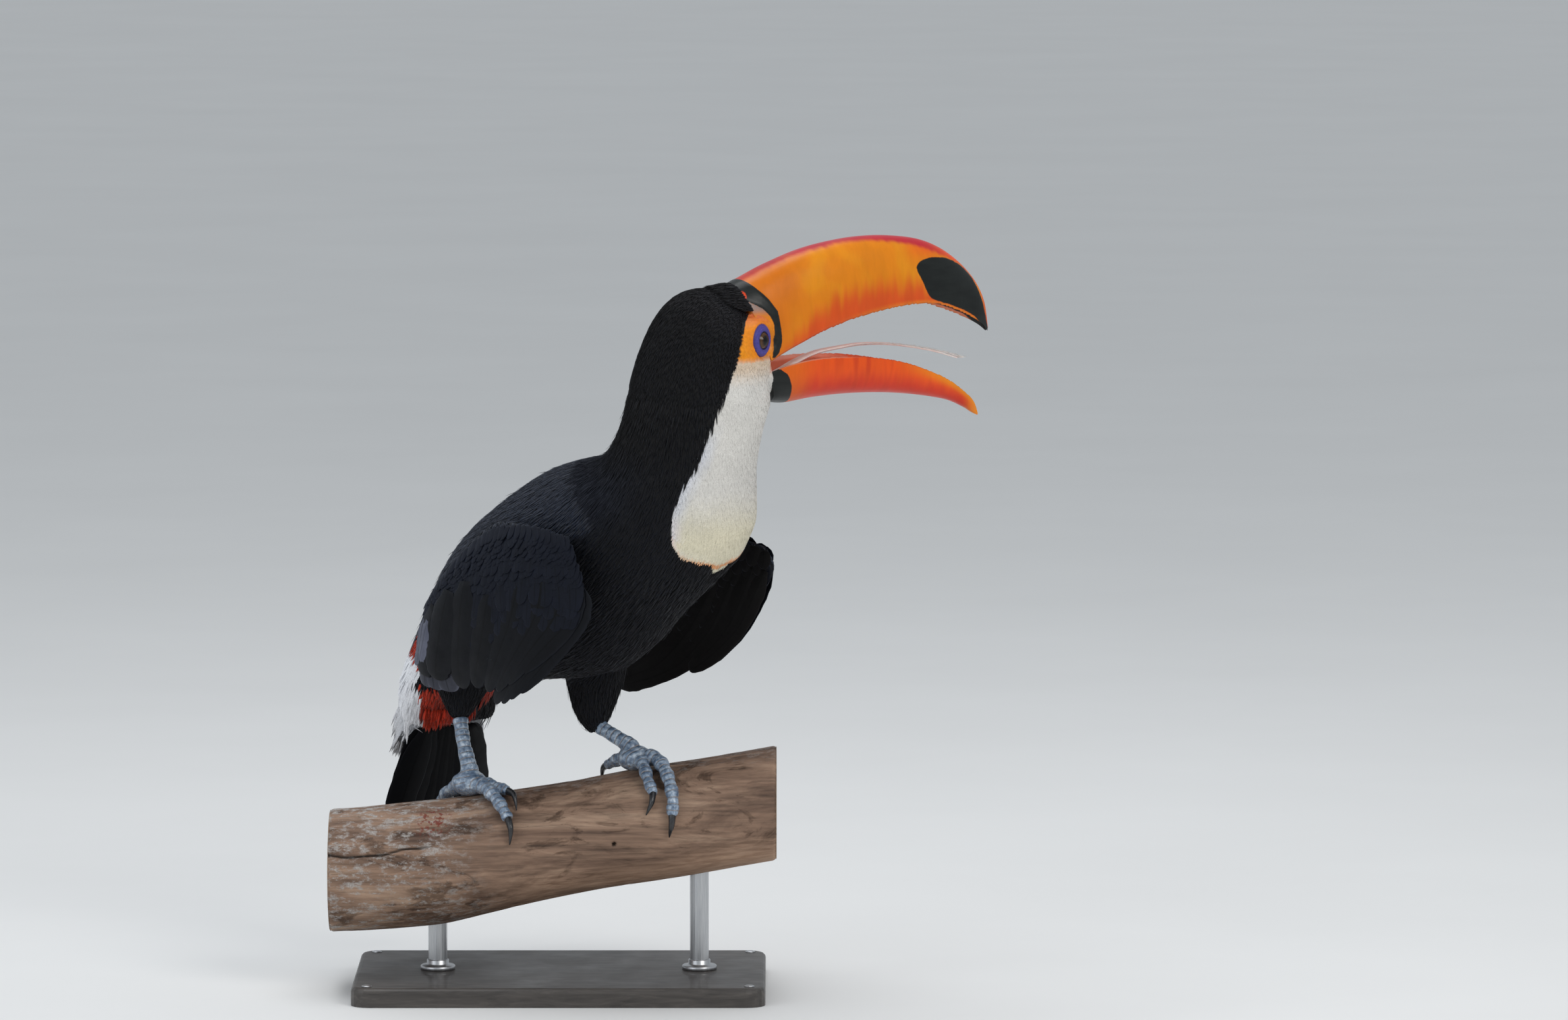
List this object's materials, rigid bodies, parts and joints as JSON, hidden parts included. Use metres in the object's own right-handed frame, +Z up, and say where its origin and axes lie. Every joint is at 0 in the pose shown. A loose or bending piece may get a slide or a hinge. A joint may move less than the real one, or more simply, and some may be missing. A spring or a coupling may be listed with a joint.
{
  "type": "toco toucan display model on a cut branch perch",
  "caption": "Life-size still toco toucan with an open bill, gripping a cut branch held by a flat base on short rods.",
  "frame": {"origin": "middle of the stand base's underside", "axes": "+Z up; the branch runs along X and rises towards +X; the viewer's side is -Y; the bill points towards +X and +Y"},
  "size_m": [0.4177, 0.2408, 0.4775],
  "materials": {
    "black_feather": "soft black plumage with a faint sheen",
    "white_feather": "fine hair-like white feathers, cream below",
    "orange_bill": "smooth satin horn, orange with a black tip patch and a black band at the base",
    "red_bill": "smooth satin horn, orange-red, black at the base",
    "tongue_skin": "pale pink, thin and fringed",
    "eye_glass": "wet glossy dark brown",
    "leg_skin": "blue-grey scutes with pale edges",
    "claw_horn": "glossy black horn",
    "perch_wood": "weathered debarked branch, grey-brown with long grain and cracks",
    "stand_board": "dark stained board",
    "stand_steel": "brushed steel rod"
  },
  "bodies": {
    "root": {"trunk": "black_feather", "neck": "white_feather", "head": "black_feather", "wing_right": "black_feather", "wing_left": "black_feather", "tail": "black_feather", "thigh_right": "black_feather", "thigh_left": "black_feather", "bill_upper": "orange_bill", "bill_lower": "red_bill", "tongue": "tongue_skin", "eye_right": "eye_glass", "eye_left": "eye_glass", "foot_right": "leg_skin", "foot_left": "leg_skin", "claw_right_1": "claw_horn", "claw_right_2": "claw_horn", "claw_right_3": "claw_horn", "claw_right_4": "claw_horn", "claw_left_1": "claw_horn", "claw_left_2": "claw_horn", "claw_left_3": "claw_horn", "claw_left_4": "claw_horn", "perch": "perch_wood", "stand_base": "stand_board", "stand_rod_left": "stand_steel", "stand_rod_right": "stand_steel"}
  },
  "joints": []
}
